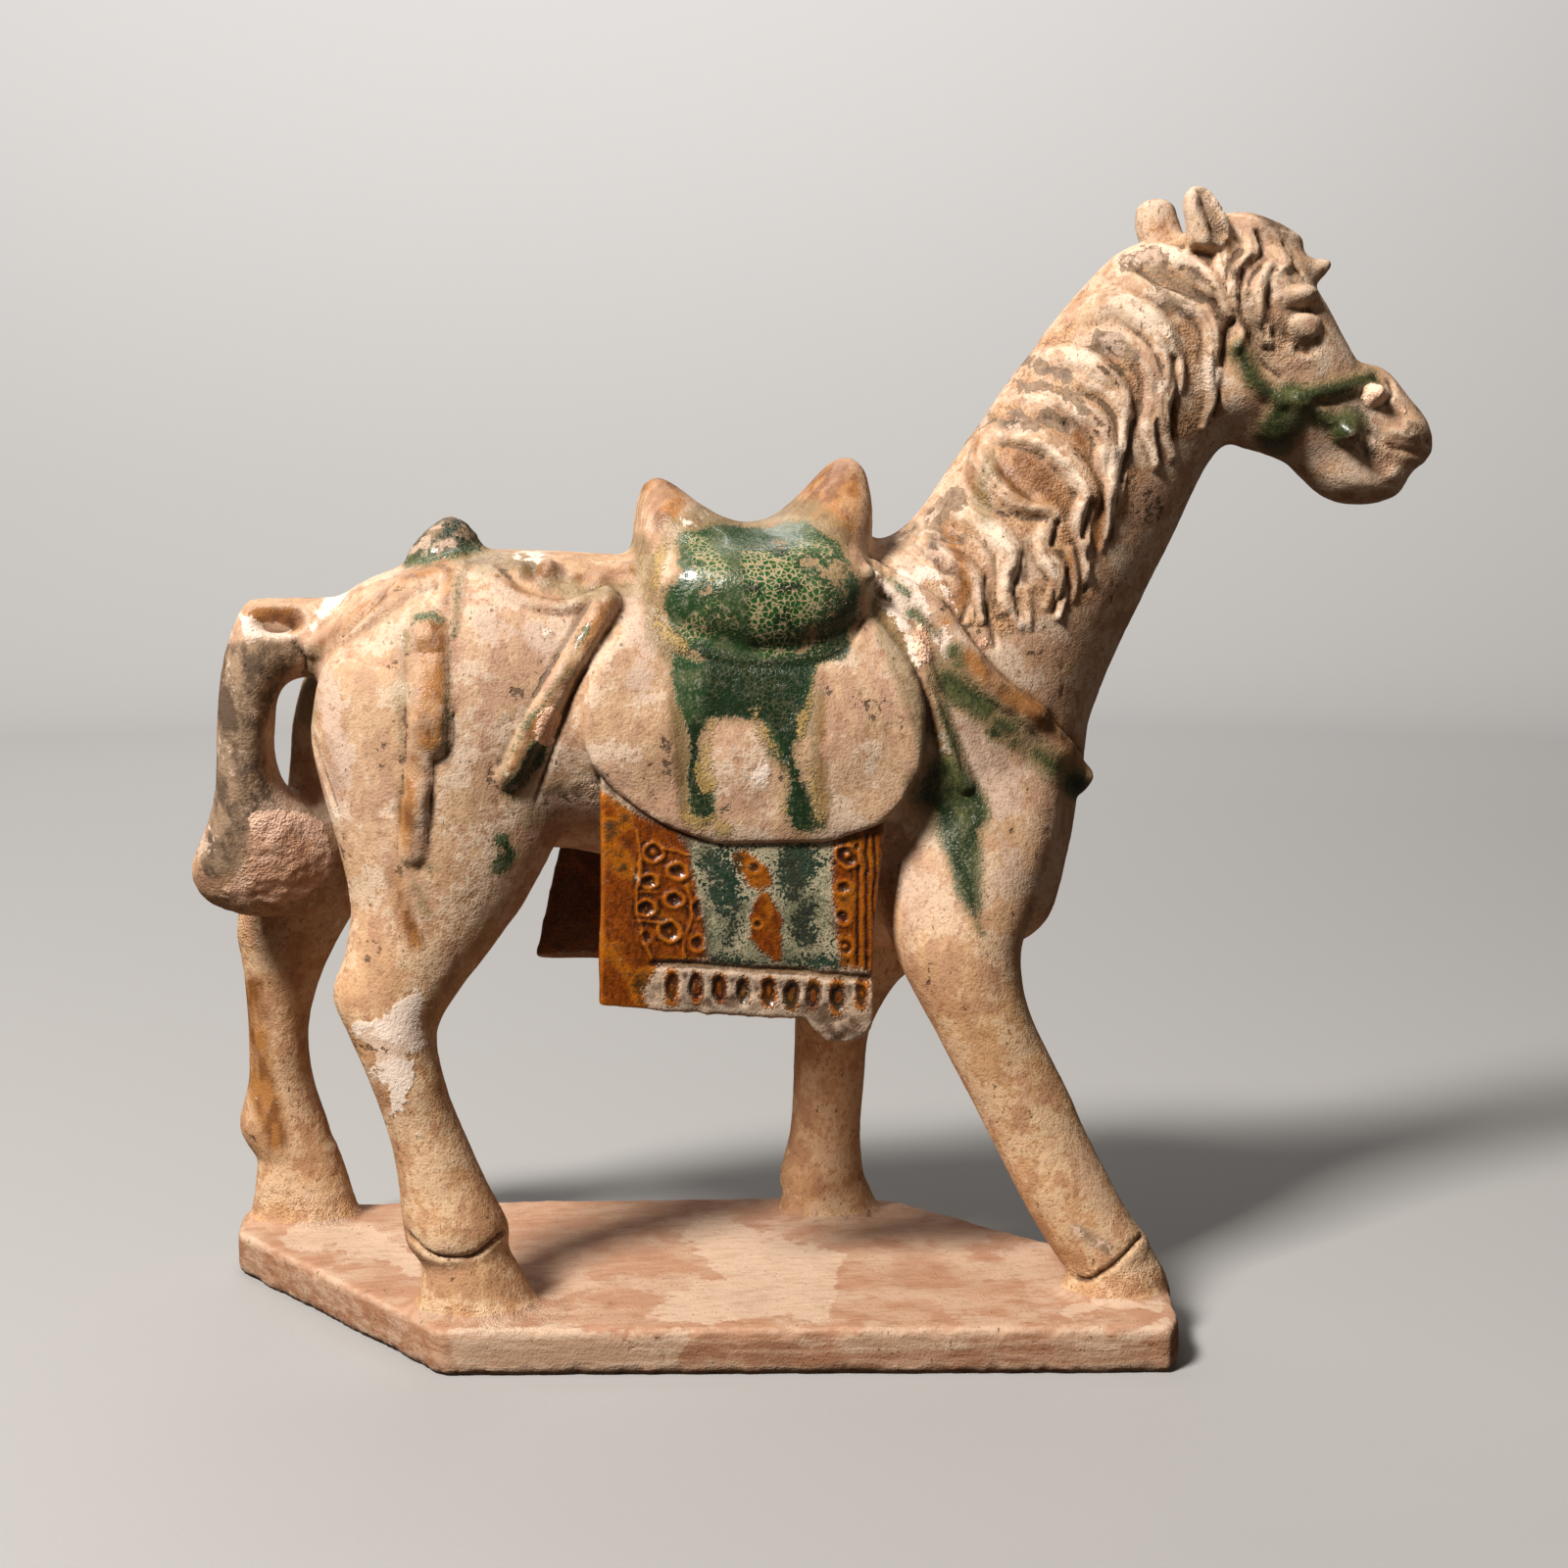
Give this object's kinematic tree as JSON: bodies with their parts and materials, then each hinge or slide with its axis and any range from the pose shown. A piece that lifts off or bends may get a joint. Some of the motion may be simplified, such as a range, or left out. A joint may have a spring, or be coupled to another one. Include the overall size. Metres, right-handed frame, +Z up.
{
  "type": "sancai pottery horse",
  "caption": "Saddled glazed pottery horse standing on a low uneven clay slab, with a lock-carved mane, harness and saddle cloths.",
  "frame": {"origin": "on the slab's flat underside, near its middle, below the saddle", "axes": "+X towards the horse's nose, +Z up from the slab's underside, +Y towards the horse's left side"},
  "size_m": [0.3869, 0.1636, 0.3442],
  "materials": {
    "glazed_pottery": "worn buff and straw slip over bare clay, with green and amber glaze on the saddle, cloths and harness"
  },
  "bodies": {
    "root": {"sancai_horse": "glazed_pottery"}
  },
  "joints": []
}
